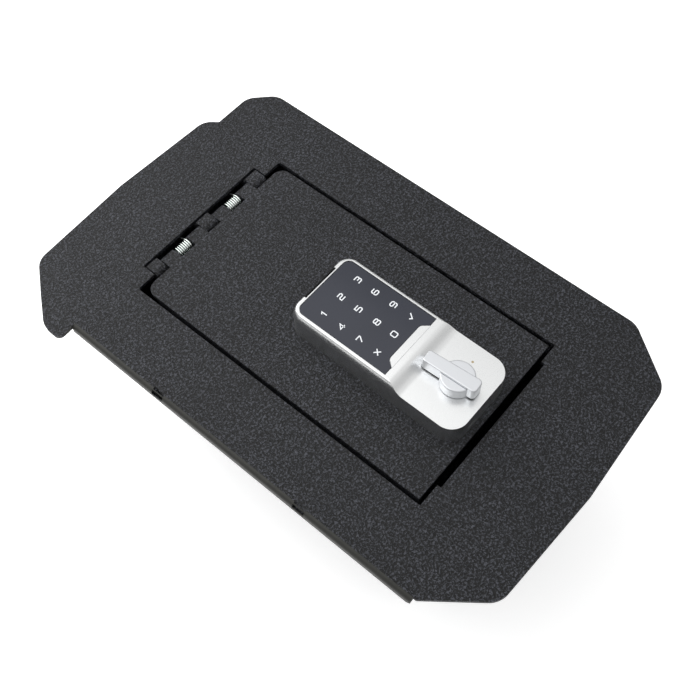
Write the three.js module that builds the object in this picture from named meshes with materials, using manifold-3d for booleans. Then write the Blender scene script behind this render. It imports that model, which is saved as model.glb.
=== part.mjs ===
// Console safe: a steel top plate over a welded box, a hinged door and a keypad lock on the door.
// Millimetres. X runs along the hinge pin, +Y from the lock's knob to the hinge, +Z up.
// The sizes below are written with z = 0 on the plate's top and y = 0 near the middle of the door.
// The finished model is then set down with its origin under the middle of its own outline.

import * as THREE from 'three';
import { mergeVertices } from 'three/addons/utils/BufferGeometryUtils.js';
import Module from 'manifold-3d';

const wasm = await Module();
wasm.setup();

// Clearances
const runningGap = 0.35;
const shaftGap = 0.4;
const fittedGap = 0.3;
const pinGap = 0.3;
const knobGap = 0.4;
const camGap = 0.5;
const springSideGap = 0.8;
const doorGap = { side: 2.7, front: 2.7, rear: 3.9 };
const slotGap = { end: 0.8, rear: 3.1 };

// Steel sheet
const plateThickness = 2.7;
const boxThickness = 2;
const cutCornerRadius = 0.5;

// Cutters run past the faces that they cut by this much
const cutMargin = 1;

// Top plate outline. Lengths back from its front and rear ends are marked as setbacks.
const plate = {
  right: 126.8,
  front: -164.9,
  rear: 201.5,
  frontRadius: 15,
  rearRadius: 13,
  apexRadius: 8,
  stepRadius: 0.6,
};
const creaseX = -94.6;
const frontApexX = 14;
const frontCorner = { right: 99.3, left: -66.7, setback: 3.9 };
const sideStart = { right: plate.front + 40.5, left: plate.front + 39.4 };
const rearApexX = -1;
const rearCorner = { right: 75.7, left: -77.4, setback: 3.5 };
const rearStep = { x: 82.3, setback: 12.1, chamfer: 15.4 };
const chamferEndLeft = plate.rear - 25.3;

// Ear that runs on past the folded edge
const ear = { tip: -108.5, cornerSetback: 43.5, frontSetback: 57.4, cornerRadius: 16, frontRadius: 4.5 };
const earFront = plate.rear - ear.frontSetback;
const earDroop = THREE.MathUtils.degToRad(3);

// Folded left edge and the slots cut along its fold
const lip = { outerRadius: 3, depth: 6.5, setback: 2, cornerCut: 2.6 };
const foldSlot = { length: 8.6, width: 1.2 };
const foldSlotPlaces = [69.5, -43];

// Door opening and door
const opening = { left: -51.5, right: 82.4, front: -94.4, rear: 132.2, cornerRadius: 2 };
const fingerNotch = { left: -35.6, right: 67.7, depth: 2.6 };
const door = {
  left: opening.left + doorGap.side,
  right: opening.right - doorGap.side,
  front: opening.front + doorGap.front,
  rear: opening.rear - doorGap.rear,
  cornerRadius: 7.5,
};

// Hinge
const pinRadius = 1.7;
const pinBoreRadius = pinRadius + pinGap;
const eyeRadius = pinBoreRadius + plateThickness;
const pinY = opening.rear + 2.3;
const pinZ = -eyeRadius;
const curlEnd = THREE.MathUtils.degToRad(-198);
const eyeRoot = 3;
const knuckleSpans = [[-36.5, -27.2], [9, 19.9], [55.9, 66.9]];
const knuckle = { topLength: 5.9, footLength: 7.4, tailThickness: 3.5, wallGap: 0.5 };
const hingeSlot = {
  left: knuckleSpans[0][0] - slotGap.end,
  right: knuckleSpans[2][1] + slotGap.end,
  rear: pinY + eyeRadius + slotGap.rear,
};

// Torsion springs
const springSpans = [[-15.1, -4.1], [31.9, 42.9]];
const spring = {
  wire: 1.1,
  radius: 4,
  turns: 6.4,
  stepsPerTurn: 8,
  sides: 5,
  legLength: 10.5,
  hookLength: 1.4,
};
const springLegAngle = THREE.MathUtils.degToRad(66);

// Box under the plate, set outside the opening on every side
const boxReach = { side: 5.4, front: 13.1, rear: 9.7 };
const box = {
  left: opening.left - boxReach.side,
  right: opening.right + boxReach.side,
  front: opening.front - boxReach.front,
  rear: hingeSlot.rear + boxReach.rear,
  depth: 140,
  bendRadius: 3,
};
const ledge = { lap: 2.4, rearSetback: 9.3, height: 9 };
const floorBolt = { radius: 3.5, acrossX: 90, acrossY: 160 };

// Strike that the latch cam turns under
const strike = { width: 60, depth: 8, thickness: 5.5 };
const strikeBottom = -plateThickness - strike.thickness;

// Lock on the door, standing a little to the right of the door's middle
const lockOffset = 0.25;
const lock = {
  x: (door.left + door.right) / 2 + lockOffset,
  width: 56.1,
  front: -87.7,
  rear: 39.2,
  frontRadius: 11.5,
  rearRadius: 9.5,
};
const deckHeight = 16.6;
const keypadHeight = 21.4;
const lockWall = 2.5;
const lockFloor = 2;
const deckEdgeRadius = 0.4;
const keypadEdge = { across: 3.2, down: 7.2 };
const slope = { top: -37, foot: -47, crown: 3.8, sweep: 4.7 };
const glass = { width: 48.4, rear: 34.7, front: -33.8, thickness: 1.3, pocket: 1.5, cornerRadius: 5 };
const tongue = { rear: -29.1, baseHalf: 18.2, topHalf: 14.6, cornerRadius: 3.5 };
const tongueSeam = { width: 0.4, depth: 0.4 };
const lockCavity = { front: -30, rear: 34.4, top: 18.3 };
const batteryCap = {
  width: 27.4,
  thickness: 2.2,
  recess: 1,
  bottom: 2.8,
  top: 20.6,
  edgeAcross: 2,
  edgeDown: 5,
};
const capGrip = { width: 10, height: 1.4, depth: 0.7, belowTop: 2.6 };
const powerSocket = { left: -13.8, right: -6.1, bottom: 4.6, top: 6, depth: 1 };

// Fastening of the lock through the door
const backplate = { width: 46, front: -82, rear: 34, thickness: 1.5, cornerRadius: 5 };
const backplateBottom = -plateThickness - backplate.thickness;
const nut = { acrossFlats: 24, thickness: 3.5 };
const sleeve = { radius: 8, pastNut: 0.5 };
const sleeveEnd = backplateBottom - nut.thickness - sleeve.pastNut;
const lockScrewPlaces = [[-17, -38], [17, -38], [-17, 24], [17, 24]];
const lockScrew = { radius: 1.9, hole: 2.3, headRadius: 3.6, headHeight: 2.3, reach: 8 };
const screwBoss = { radius: 4, spareDepth: 1 };

// Knob, spindle and latch cam, all turning together
const knobY = -67.8;
const knob = { radius: 10.6, skirt: 0.2, edge: 0.8, bottom: deckHeight + knobGap, discTop: 25.6 };
const bar = {
  frontReach: 14.2,
  rearReach: 22.2,
  frontWidth: 9.6,
  rearWidth: 8.1,
  frontRadius: 2.6,
  rearRadius: 1.4,
  lift: 1.4,
  top: 27.3,
  edge: 0.7,
};
const barTurn = THREE.MathUtils.degToRad(3.6);
const spindle = { radius: 3.8, square: 6, shoulderRise: 0.2 };
const cam = { thickness: 3, hubRadius: 9, width: 14, reach: 35, tipRadius: 5 };
const camTop = Math.min(sleeveEnd, strikeBottom) - camGap;
const camBottom = camTop - cam.thickness;
const camScrew = {
  washerRadius: 6.2,
  washerThickness: 1,
  headRadius: 4.2,
  headHeight: 2.8,
  shankRadius: 1.8,
};
const camScrewBore = { radius: 2.1, depth: 6, spareDepth: 0.5 };

const material = (color, roughness, metalness) =>
  new THREE.MeshStandardMaterial({ color, roughness, metalness });
const texturedBlack = () => material(0x34363a, 0.75, 0.1);
const zincPlate = () => material(0xcfd6d4, 0.35, 0.9);
const plainSteel = () => material(0x8a8d90, 0.4, 0.9);
const satinSilver = () => material(0xe4e6e8, 0.4, 0.5);
const darkGlass = () => material(0x4b4d58, 0.2, 0);
const blackPlastic = () => material(0x18191b, 0.55, 0);

// Solids from three.js geometry and back

function toSolid(geometry) {
  const bare = new THREE.BufferGeometry();
  bare.setAttribute('position', geometry.getAttribute('position').clone());
  if (geometry.index) {
    bare.setIndex(geometry.index.clone());
  }
  const merged = mergeVertices(bare, 1e-4);
  const vertProperties = new Float32Array(merged.getAttribute('position').array);
  const triVerts = new Uint32Array(merged.index.array);
  return new wasm.Manifold(new wasm.Mesh({ numProp: 3, vertProperties, triVerts }));
}

function toGeometry(solid) {
  const mesh = solid.getMesh();
  const geometry = new THREE.BufferGeometry();
  geometry.setAttribute('position', new THREE.BufferAttribute(new Float32Array(mesh.vertProperties), 3));
  geometry.setIndex(new THREE.BufferAttribute(new Uint32Array(mesh.triVerts), 1));
  return geometry;
}

const union = (solids) => solids.reduce((whole, solid) => whole.add(solid));
const subtractAll = (solid, cutters) => cutters.reduce((rest, cutter) => rest.subtract(cutter), solid);

// Outline helpers. A corner is [x, y] or [x, y, radius].

function traceOutline(path, corners) {
  const count = corners.length;
  corners.forEach((corner, i) => {
    const here = new THREE.Vector2(corner[0], corner[1]);
    const before = new THREE.Vector2(...corners[(i + count - 1) % count].slice(0, 2)).sub(here).normalize();
    const after = new THREE.Vector2(...corners[(i + 1) % count].slice(0, 2)).sub(here).normalize();
    const radius = corner[2] || 0;
    const enter = radius ? cornerArc(here, before, after, radius) : null;
    const first = enter ? enter.from : here;
    if (i === 0) {
      path.moveTo(first.x, first.y);
    } else {
      path.lineTo(first.x, first.y);
    }
    if (enter) {
      path.absarc(enter.centre.x, enter.centre.y, radius, enter.start, enter.end, enter.clockwise);
    }
  });
  path.closePath();
  return path;
}

function cornerArc(here, before, after, radius) {
  const half = Math.acos(THREE.MathUtils.clamp(before.dot(after), -1, 1)) / 2;
  const from = here.clone().addScaledVector(before, radius / Math.tan(half));
  const to = here.clone().addScaledVector(after, radius / Math.tan(half));
  const inward = before.clone().add(after).normalize();
  const centre = here.clone().addScaledVector(inward, radius / Math.sin(half));
  return {
    from,
    centre,
    start: Math.atan2(from.y - centre.y, from.x - centre.x),
    end: Math.atan2(to.y - centre.y, to.x - centre.x),
    clockwise: before.cross(after) > 0,
  };
}

const outline = (corners) => traceOutline(new THREE.Shape(), corners);

const rectangle = (x0, x1, y0, y1, radius = 0) =>
  outline([[x0, y0, radius], [x1, y0, radius], [x1, y1, radius], [x0, y1, radius]]);

// Sweeps: an outline in plan swept up, and side outlines swept along X and along Y.

function sweepUp(shape, bottom, top, curveSegments = 6) {
  const options = { depth: top - bottom, bevelEnabled: false, curveSegments };
  const geometry = new THREE.ExtrudeGeometry(shape, options);
  return toSolid(geometry.translate(0, 0, bottom));
}

function sweepAlongX(shape, start, end, curveSegments = 6) {
  const options = { depth: end - start, bevelEnabled: false, curveSegments };
  const geometry = new THREE.ExtrudeGeometry(shape, options);
  const turned = new THREE.Matrix4().makeBasis(
    new THREE.Vector3(0, 1, 0), new THREE.Vector3(0, 0, 1), new THREE.Vector3(1, 0, 0));
  return toSolid(geometry.applyMatrix4(turned).translate(start, 0, 0));
}

function sweepAlongY(shape, start, end, curveSegments = 6) {
  const options = { depth: end - start, bevelEnabled: false, curveSegments };
  const geometry = new THREE.ExtrudeGeometry(shape, options);
  const turned = new THREE.Matrix4().makeBasis(
    new THREE.Vector3(1, 0, 0), new THREE.Vector3(0, 0, 1), new THREE.Vector3(0, -1, 0));
  return toSolid(geometry.applyMatrix4(turned).translate(0, end, 0));
}

// A plan outline swept up with its top edge rounded, so far in across and so far down.
function sweepUpRounded(shape, bottom, top, across, down = across, curveSegments = 6, steps = 4) {
  const geometry = new THREE.ExtrudeGeometry(shape, {
    depth: top - bottom,
    bevelThickness: down,
    bevelSize: across,
    bevelOffset: -across,
    bevelSegments: steps,
    curveSegments,
  });
  geometry.translate(0, 0, bottom - down).computeBoundingBox();
  const { min, max } = geometry.boundingBox;
  const below = block(min.x - cutMargin, max.x + cutMargin, min.y - cutMargin, max.y + cutMargin,
    min.z - cutMargin, bottom);
  return toSolid(geometry).subtract(below);
}

function block(x0, x1, y0, y1, z0, z1) {
  const geometry = new THREE.BoxGeometry(x1 - x0, y1 - y0, z1 - z0);
  return toSolid(geometry.translate((x0 + x1) / 2, (y0 + y1) / 2, (z0 + z1) / 2));
}

function post(x, y, radius, bottom, top, sides = 24) {
  const geometry = new THREE.CylinderGeometry(radius, radius, top - bottom, sides);
  return toSolid(geometry.rotateX(Math.PI / 2).translate(x, y, (bottom + top) / 2));
}

// Top plate: sheet outline with its folded edge, slots and ear, cut for the door and hinge.

function makeTopPlate() {
  const { frontRadius, rearRadius } = plate;
  const frontY = plate.front + frontCorner.setback;
  const rearY = plate.rear - rearCorner.setback;
  const stepY = plate.rear - rearStep.setback;
  const flat = sweepUp(outline([
    [frontApexX, plate.front, plate.apexRadius],
    [frontCorner.right, frontY, frontRadius],
    [plate.right, sideStart.right, frontRadius],
    [plate.right, stepY - rearStep.chamfer, rearRadius],
    [plate.right - rearStep.chamfer, stepY, rearRadius],
    [rearStep.x, stepY, plate.stepRadius],
    [rearCorner.right, rearY, rearRadius],
    [rearApexX, plate.rear, plate.apexRadius],
    [rearCorner.left, rearY, rearRadius],
    [creaseX, chamferEndLeft],
    [creaseX, sideStart.left],
    [frontCorner.left, frontY, frontRadius],
  ]), -plateThickness, 0);
  const whole = union([flat, makeFoldedEdge(), makeEar()]);
  const slots = foldSlotPlaces.map((y) => {
    const cutter = new THREE.BoxGeometry(foldSlot.width, foldSlot.length, 4 * plateThickness);
    const halfRadius = lip.outerRadius / 2;
    return toSolid(cutter.rotateY(Math.PI / 4).translate(creaseX - halfRadius, y, -halfRadius));
  });
  return subtractAll(whole, [sweepUp(doorOpening(), -plateThickness - cutMargin, cutMargin), ...slots]);
}

function makeFoldedEdge() {
  const outer = creaseX - lip.outerRadius;
  const inner = outer + plateThickness;
  const root = creaseX + cutMargin;
  const front = sideStart.left + lip.setback;
  const profile = new THREE.Shape();
  profile.moveTo(root, 0);
  profile.lineTo(creaseX, 0);
  profile.absarc(creaseX, -lip.outerRadius, lip.outerRadius, Math.PI / 2, Math.PI, false);
  profile.lineTo(outer, -lip.depth);
  profile.lineTo(inner, -lip.depth);
  profile.lineTo(inner, -lip.outerRadius);
  profile.absarc(creaseX, -lip.outerRadius, lip.outerRadius - plateThickness, Math.PI, Math.PI / 2, true);
  profile.lineTo(root, -plateThickness);
  profile.closePath();
  const cornerCut = new THREE.Shape([
    new THREE.Vector2(front - cutMargin, -lip.depth - cutMargin),
    new THREE.Vector2(front + lip.cornerCut + cutMargin, -lip.depth - cutMargin),
    new THREE.Vector2(front - cutMargin, -lip.depth + lip.cornerCut + cutMargin),
  ]);
  const corner = sweepAlongX(cornerCut, outer - cutMargin, root + cutMargin);
  return sweepAlongY(profile, front, earFront).subtract(corner);
}

function makeEar() {
  const tip = ear.tip - creaseX;
  const shape = outline([
    [0, earFront],
    [0, chamferEndLeft],
    [tip, plate.rear - ear.cornerSetback, ear.cornerRadius],
    [tip, earFront, ear.frontRadius],
  ]);
  const options = { depth: plateThickness, bevelEnabled: false, curveSegments: 8 };
  const sheet = new THREE.ExtrudeGeometry(shape, options);
  return toSolid(sheet.translate(0, 0, -plateThickness).rotateY(-earDroop).translate(creaseX, 0, 0));
}

function doorOpening() {
  const { left, right, front, rear, cornerRadius } = opening;
  const notchFront = front - fingerNotch.depth;
  return outline([
    [left, front, cutCornerRadius],
    [fingerNotch.left, front],
    [fingerNotch.left, notchFront, cutCornerRadius],
    [fingerNotch.right, notchFront, cutCornerRadius],
    [fingerNotch.right, front],
    [right, front, cutCornerRadius],
    [right, rear, cornerRadius],
    [hingeSlot.right, rear],
    [hingeSlot.right, hingeSlot.rear],
    [hingeSlot.left, hingeSlot.rear],
    [hingeSlot.left, rear],
    [left, rear, cornerRadius],
  ]);
}

// Box under the plate: one sheet bent to a channel, with a wall welded in at each end.

function makeBoxChannel() {
  const { left, right, front, rear, depth, bendRadius } = box;
  const innerRadius = bendRadius - boxThickness;
  const profile = outline([
    [left, -plateThickness],
    [left, -depth, bendRadius],
    [right, -depth, bendRadius],
    [right, -plateThickness],
    [right - boxThickness, -plateThickness],
    [right - boxThickness, -depth + boxThickness, innerRadius],
    [left + boxThickness, -depth + boxThickness, innerRadius],
    [left + boxThickness, -plateThickness],
  ]);
  const middleX = (left + right) / 2;
  const middleY = (front + rear) / 2;
  const bolts = [];
  for (const sideX of [-0.5, 0.5]) {
    for (const sideY of [-0.5, 0.5]) {
      const x = middleX + sideX * floorBolt.acrossX;
      const y = middleY + sideY * floorBolt.acrossY;
      bolts.push(post(x, y, floorBolt.radius, -depth - cutMargin, -depth + boxThickness + cutMargin));
    }
  }
  return subtractAll(sweepAlongY(profile, front, rear), bolts);
}

function makeEndWall(start) {
  const left = box.left + boxThickness;
  const right = box.right - boxThickness;
  const floor = -box.depth + boxThickness;
  const cornerRadius = box.bendRadius - boxThickness + fittedGap;
  const wall = outline([
    [left, -plateThickness],
    [left, floor, cornerRadius],
    [right, floor, cornerRadius],
    [right, -plateThickness],
  ]);
  return sweepAlongY(wall, start, start + boxThickness);
}

// A folded strip runs down each side wall. Its foot is welded to the wall and its upright
// stands under the door, which closes onto it.
function makeLedge(wallX, doorX) {
  const side = Math.sign(doorX - wallX);
  const edge = doorX + side * ledge.lap;
  const face = edge - side * boxThickness;
  const bottom = -plateThickness - ledge.height;
  const rear = door.rear - ledge.rearSetback;
  const foot = block(Math.min(wallX, edge), Math.max(wallX, edge), door.front, rear,
    bottom, bottom + boxThickness);
  return block(Math.min(face, edge), Math.max(face, edge), door.front, rear, bottom, -plateThickness)
    .add(foot);
}

function makeStrike() {
  const front = box.front + boxThickness;
  return block(lock.x - strike.width / 2, lock.x + strike.width / 2, front, front + strike.depth,
    strikeBottom, -plateThickness);
}

// Hinge: eyes curled from the door's own sheet between three knuckles welded under the plate.

function makeKnuckle(span) {
  const bottom = pinZ - eyeRadius;
  const topEnd = pinY + knuckle.topLength;
  const tail = box.rear - boxThickness - knuckle.wallGap;
  const profile = new THREE.Shape();
  profile.moveTo(topEnd, 0);
  profile.lineTo(pinY, 0);
  profile.absarc(pinY, pinZ, eyeRadius, Math.PI / 2, Math.PI * 1.5, false);
  profile.lineTo(pinY + knuckle.footLength, bottom);
  profile.lineTo(tail, -plateThickness - knuckle.tailThickness);
  profile.lineTo(tail, -plateThickness);
  profile.lineTo(topEnd, -plateThickness);
  profile.closePath();
  const bore = new THREE.Path();
  bore.absarc(pinY, pinZ, pinBoreRadius, 0, Math.PI * 2, false);
  profile.holes.push(bore);
  return sweepAlongX(profile, span[0], span[1], 12);
}

function eyeSpans() {
  const [first, second] = springSpans;
  const [leftKnuckle, middleKnuckle, rightKnuckle] = knuckleSpans;
  return [
    [leftKnuckle[1] + runningGap, first[0] - springSideGap],
    [first[1] + springSideGap, middleKnuckle[0] - runningGap],
    [middleKnuckle[1] + runningGap, second[0] - springSideGap],
    [second[1] + springSideGap, rightKnuckle[0] - runningGap],
  ];
}

function makeEye(span) {
  const profile = new THREE.Shape();
  profile.moveTo(door.rear - eyeRoot, 0);
  profile.lineTo(door.rear - eyeRoot, -plateThickness);
  profile.lineTo(pinY, -plateThickness);
  profile.absarc(pinY, pinZ, pinBoreRadius, Math.PI / 2, curlEnd, true);
  profile.lineTo(pinY + eyeRadius * Math.cos(curlEnd), pinZ + eyeRadius * Math.sin(curlEnd));
  profile.absarc(pinY, pinZ, eyeRadius, curlEnd, Math.PI / 2, false);
  profile.closePath();
  return sweepAlongX(profile, span[0], span[1], 20);
}

function makePin() {
  const geometry = new THREE.CylinderGeometry(pinRadius, pinRadius, 1, 20);
  const length = knuckleSpans[2][1] - knuckleSpans[0][0];
  geometry.scale(1, length, 1);
  return toSolid(geometry.rotateZ(Math.PI / 2).translate(knuckleSpans[0][0] + length / 2, pinY, pinZ));
}

// Door: flat sheet with rounded rear corners, its curled eyes and the holes that the lock needs.

function makeDoor() {
  const flat = sweepUp(outline([
    [door.left, door.front, cutCornerRadius],
    [door.right, door.front, cutCornerRadius],
    [door.right, door.rear, door.cornerRadius],
    [door.left, door.rear, door.cornerRadius],
  ]), -plateThickness, 0);
  const sheet = union([flat, ...eyeSpans().map(makeEye)]);
  return subtractAll(sheet, lockFixingHoles(-plateThickness - cutMargin, cutMargin));
}

// Torsion spring: coil round the pin, one leg out under the plate, one hooked towards the door's eye.

function springPoints(span) {
  const start = span[0] + spring.wire / 2;
  const end = span[1] - spring.wire / 2;
  const at = (angle, x) =>
    new THREE.Vector3(x, pinY + spring.radius * Math.cos(angle), pinZ + spring.radius * Math.sin(angle));
  const steps = Math.round(spring.turns * spring.stepsPerTurn);
  const firstAngle = springLegAngle + spring.turns * 2 * Math.PI;
  const coil = [];
  for (let i = 0; i <= steps; i++) {
    const share = i / steps;
    const angle = THREE.MathUtils.lerp(firstAngle, springLegAngle, share);
    coil.push(at(angle, THREE.MathUtils.lerp(start, end, share)));
  }
  const hook = coil[0].clone().add(new THREE.Vector3(-spring.hookLength + spring.wire / 2, 0, 0));
  const legDirection = new THREE.Vector3(0, Math.sin(springLegAngle), -Math.cos(springLegAngle));
  const legStart = coil[steps].clone().addScaledVector(legDirection, spring.wire);
  const legEnd = coil[steps].clone().addScaledVector(legDirection, spring.legLength);
  return { coil, points: [hook, ...coil, legStart, legEnd] };
}

function tubeAlong(points, radius, sides) {
  const tangents = points.map((point, i) => {
    const before = points[Math.max(i - 1, 0)];
    const after = points[Math.min(i + 1, points.length - 1)];
    return after.clone().sub(before).normalize();
  });
  const positions = [];
  let normal = new THREE.Vector3(0, 1, 0).cross(tangents[0]).normalize();
  points.forEach((point, i) => {
    normal = normal.sub(tangents[i].clone().multiplyScalar(normal.dot(tangents[i]))).normalize();
    const binormal = tangents[i].clone().cross(normal);
    for (let k = 0; k < sides; k++) {
      const angle = (k / sides) * 2 * Math.PI;
      const rim = point.clone().addScaledVector(normal, radius * Math.cos(angle));
      positions.push(...rim.addScaledVector(binormal, radius * Math.sin(angle)).toArray());
    }
  });
  const index = [];
  for (let i = 0; i < points.length - 1; i++) {
    for (let k = 0; k < sides; k++) {
      const a = i * sides + k;
      const b = i * sides + ((k + 1) % sides);
      index.push(a, b, b + sides, a, b + sides, a + sides);
    }
  }
  const last = (points.length - 1) * sides;
  for (let k = 1; k < sides - 1; k++) {
    index.push(0, k + 1, k);
    index.push(last, last + k, last + k + 1);
  }
  const geometry = new THREE.BufferGeometry();
  geometry.setAttribute('position', new THREE.Float32BufferAttribute(positions, 3));
  geometry.setIndex(index);
  return geometry;
}

function leastGapInCoil(coil) {
  let least = Infinity;
  for (let i = 0; i < coil.length; i++) {
    for (let j = i + spring.stepsPerTurn / 2; j < coil.length; j++) {
      least = Math.min(least, coil[i].distanceTo(coil[j]));
    }
  }
  return least - spring.wire;
}

function makeSpring(span) {
  const { coil, points } = springPoints(span);
  console.log(`spring: least gap between turns ${leastGapInCoil(coil).toFixed(2)} mm`);
  return toSolid(tubeAlong(points, spring.wire / 2, spring.sides));
}

// Lock: a silver housing with a glass keypad let into it, closed by a floor where it stands on the door.

function lockOutline(inset = 0, rear = lock.rear - inset, front = lock.front + inset) {
  const half = lock.width / 2 - inset;
  const frontRadius = Math.max(lock.frontRadius - inset, 1);
  const rearRadius = Math.max(lock.rearRadius - inset, 1);
  return outline([
    [lock.x - half, front, frontRadius],
    [lock.x + half, front, frontRadius],
    [lock.x + half, rear, rearRadius],
    [lock.x - half, rear, rearRadius],
  ]);
}

const capFace = lock.rear - batteryCap.recess;
const capBack = capFace - batteryCap.thickness;

function batteryNotch() {
  const half = batteryCap.width / 2 + fittedGap;
  return block(lock.x - half, lock.x + half, capBack - fittedGap, lock.rear + cutMargin,
    batteryCap.bottom - fittedGap, keypadHeight + cutMargin);
}

// Holes for the four lock screws and the sleeve: in the door, behind it and in the lock's floor.
function lockFixingHoles(bottom, top) {
  const holes = lockScrewPlaces.map(([x, y]) => post(lock.x + x, y, lockScrew.hole, bottom, top, 16));
  holes.push(post(lock.x, knobY, sleeve.radius + shaftGap, bottom, top, 32));
  return holes;
}

function makeLockFloor() {
  const sheet = sweepUp(lockOutline(lockWall + fittedGap, lockCavity.rear - fittedGap), 0, lockFloor);
  return subtractAll(sheet, lockFixingHoles(-cutMargin, lockFloor + cutMargin));
}

function keypadShape(grow) {
  const half = glass.width / 2 + grow;
  const front = glass.front - grow;
  return outline([
    [lock.x - half, front],
    [lock.x - tongue.baseHalf - grow / 2, front],
    [lock.x - tongue.topHalf + grow / 2, tongue.rear - grow, tongue.cornerRadius],
    [lock.x + tongue.topHalf - grow / 2, tongue.rear - grow, tongue.cornerRadius],
    [lock.x + tongue.baseHalf + grow / 2, front],
    [lock.x + half, front],
    [lock.x + half, glass.rear + grow, glass.cornerRadius],
    [lock.x - half, glass.rear + grow, glass.cornerRadius],
  ]);
}

function makeLockHousing() {
  const roof = deckHeight - lockWall;
  const deck = sweepUpRounded(lockOutline(), 0, deckHeight, deckEdgeRadius)
    .intersect(block(lock.x - lock.width, lock.x + lock.width,
      lock.front - cutMargin, slope.foot + cutMargin, -cutMargin, deckHeight + cutMargin));
  const raised = sweepUpRounded(lockOutline(), 0, keypadHeight, keypadEdge.across, keypadEdge.down, 6, 6);
  const side = new THREE.Shape();
  side.moveTo(lock.rear + cutMargin, 0);
  side.lineTo(lock.rear + cutMargin, keypadHeight + cutMargin);
  side.lineTo(slope.top, keypadHeight + cutMargin);
  side.lineTo(slope.top, keypadHeight);
  side.bezierCurveTo(slope.top - slope.crown, keypadHeight, slope.foot + slope.sweep, deckHeight,
    slope.foot, deckHeight);
  side.lineTo(slope.foot, 0);
  side.closePath();
  const shell = deck.add(raised.intersect(sweepAlongX(side, lock.x - lock.width, lock.x + lock.width, 10)));
  const cavity = sweepUp(lockOutline(lockWall, lockCavity.rear), -cutMargin, roof);
  const keypadCavity = sweepUp(lockOutline(lockWall, lockCavity.rear, lockCavity.front), 0, lockCavity.top);
  const bosses = [];
  const bores = [];
  for (const [x, y] of lockScrewPlaces) {
    const ceiling = y > lockCavity.front ? lockCavity.top : roof;
    const foot = lockFloor + fittedGap;
    const boreTop = lockScrew.reach + screwBoss.spareDepth;
    bosses.push(post(lock.x + x, y, screwBoss.radius, foot, ceiling + lockWall / 2, 20));
    bores.push(post(lock.x + x, y, lockScrew.hole, foot - cutMargin, boreTop, 16));
  }
  const body = union([
    subtractAll(shell, [cavity, keypadCavity]),
    ...bosses,
    post(lock.x, knobY, sleeve.radius, sleeveEnd, roof + lockWall / 2, 32),
  ]);
  const seamTop = keypadHeight + cutMargin;
  const seamFront = glass.front - fittedGap - tongueSeam.width;
  return subtractAll(body, [
    ...bores,
    sweepUp(keypadShape(fittedGap), keypadHeight - glass.pocket, keypadHeight + cutMargin),
    block(lock.x - tongue.baseHalf - cutMargin, lock.x + tongue.baseHalf + cutMargin,
      seamFront, seamFront + tongueSeam.width, keypadHeight - tongueSeam.depth, seamTop),
    post(lock.x, knobY, spindle.radius + shaftGap, sleeveEnd - cutMargin, deckHeight + cutMargin, 32),
    block(lock.x + powerSocket.left, lock.x + powerSocket.right, lock.front - cutMargin,
      lock.front + powerSocket.depth, powerSocket.bottom, powerSocket.top),
    batteryNotch(),
  ]);
}

function makeKeypadGlass() {
  const bottom = keypadHeight - glass.pocket;
  return sweepUp(keypadShape(0), bottom, bottom + glass.thickness);
}

function makeBatteryCap() {
  const { width, bottom, top, edgeAcross, edgeDown } = batteryCap;
  const side = new THREE.Shape();
  side.moveTo(capBack, bottom);
  side.lineTo(capFace, bottom);
  side.lineTo(capFace, top - edgeDown);
  side.absellipse(capFace - edgeAcross, top - edgeDown, edgeAcross, edgeDown, 0, Math.PI / 2, false);
  side.lineTo(capBack, top);
  side.closePath();
  const gripTop = top - capGrip.belowTop;
  const grip = block(lock.x - capGrip.width / 2, lock.x + capGrip.width / 2, capFace - capGrip.depth,
    capFace + cutMargin, gripTop - capGrip.height, gripTop);
  return sweepAlongX(side, lock.x - width / 2, lock.x + width / 2).subtract(grip);
}

// Parts behind the door that hold the lock

function makeBackplate() {
  const half = backplate.width / 2;
  const { front, rear, cornerRadius } = backplate;
  const plan = rectangle(lock.x - half, lock.x + half, front, rear, cornerRadius);
  const sheet = sweepUp(plan, backplateBottom, -plateThickness);
  return subtractAll(sheet, lockFixingHoles(backplateBottom - cutMargin, cutMargin - plateThickness));
}

function makeSleeveNut() {
  const corner = nut.acrossFlats / 2 / Math.cos(Math.PI / 6);
  const bottom = backplateBottom - nut.thickness;
  const bore = post(lock.x, knobY, sleeve.radius + fittedGap, bottom - cutMargin, cutMargin, 32);
  return post(lock.x, knobY, corner, bottom, backplateBottom, 6).subtract(bore);
}

function makeLockScrew([x, y]) {
  const { radius, headRadius, headHeight, reach } = lockScrew;
  const head = post(lock.x + x, y, headRadius, backplateBottom - headHeight, backplateBottom, 16);
  return head.add(post(lock.x + x, y, radius, backplateBottom - headHeight / 2, reach, 16));
}

// Knob with its grip bar, and the spindle that carries the latch cam under the door

function makeKnob() {
  const { radius, skirt, edge, bottom, discTop } = knob;
  const profile = [new THREE.Vector2(0, bottom), new THREE.Vector2(radius, bottom)];
  const edgeSteps = 3;
  for (let i = 0; i <= edgeSteps; i++) {
    const angle = (i / edgeSteps) * Math.PI / 2;
    const across = radius - skirt - edge + edge * Math.cos(angle);
    profile.push(new THREE.Vector2(across, discTop - edge + edge * Math.sin(angle)));
  }
  profile.push(new THREE.Vector2(0, discTop));
  const lathe = new THREE.LatheGeometry(profile, 40);
  const disc = toSolid(lathe.rotateX(Math.PI / 2).translate(lock.x, knobY, 0));
  const plan = outline([
    [-bar.frontWidth / 2, -bar.frontReach, bar.frontRadius],
    [bar.frontWidth / 2, -bar.frontReach, bar.frontRadius],
    [bar.rearWidth / 2, bar.rearReach, bar.rearRadius],
    [-bar.rearWidth / 2, bar.rearReach, bar.rearRadius],
  ]);
  const grip = sweepUpRounded(plan, deckHeight + bar.lift, bar.top, bar.edge, bar.edge, 4, 3)
    .rotate([0, 0, THREE.MathUtils.radToDeg(barTurn)])
    .translate([lock.x, knobY, 0]);
  return disc.add(grip);
}

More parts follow.
